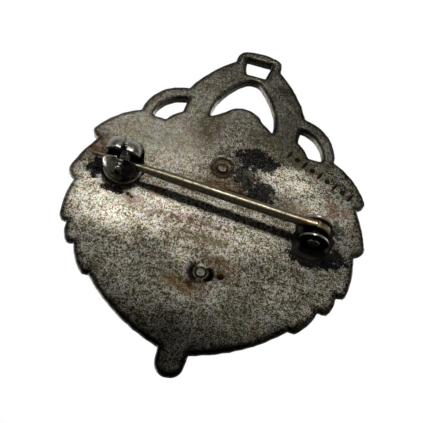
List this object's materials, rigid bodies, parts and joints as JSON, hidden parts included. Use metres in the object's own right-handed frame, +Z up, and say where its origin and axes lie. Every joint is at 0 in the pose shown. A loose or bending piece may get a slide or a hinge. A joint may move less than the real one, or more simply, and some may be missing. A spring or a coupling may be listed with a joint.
{
  "type": "cap badge",
  "caption": "Pierced crown-and-wreath cap badge with a riveted round device and, on its back, a hinged pin held by a rotary catch.",
  "frame": {"origin": "point on the plate's flat back face that rests on the cloth, midway across and near the middle of its height", "axes": "+X across the badge towards the catch, +Y out of the back that carries the pin, +Z up to the top of the crown"},
  "size_m": [0.0358, 0.0075, 0.0444],
  "materials": {
    "tarnished_silver": "tarnished, speckled satin",
    "dark_silver": "tarnished satin",
    "worn_nickel": "worn, half-polished",
    "sooty_solder": "rough, sooty",
    "nickel_wire": "dull polished wire"
  },
  "bodies": {
    "badge": {"badge_plate": "tarnished_silver", "centre_device": "tarnished_silver", "device_post_upper": "dark_silver", "device_post_lower": "dark_silver", "post_rove_upper": "dark_silver", "post_rove_lower": "dark_silver", "catch_foot": "worn_nickel", "catch_solder": "sooty_solder", "catch_case": "worn_nickel", "hinge_foot": "worn_nickel", "hinge_solder": "sooty_solder", "hinge_cheek_lower": "worn_nickel", "hinge_cheek_upper": "worn_nickel", "hinge_rivet": "worn_nickel"},
    "pin": {"pin_stem": "nickel_wire"},
    "rotor": {"catch_rotor": "worn_nickel"}
  },
  "joints": [
    {"name": "pin_swing", "type": "hinge", "parent": "badge", "child": "pin", "pos_m": [-0.01185, 0.00205, 0], "axis": [0, 0, 1], "range_deg": [0, 110]},
    {"name": "catch_turn", "type": "hinge", "parent": "badge", "child": "rotor", "pos_m": [0.0119, 0.00235, 0.0025], "axis": [0.9994, 0, 0.0349], "range_deg": [0, 70]}
  ]
}
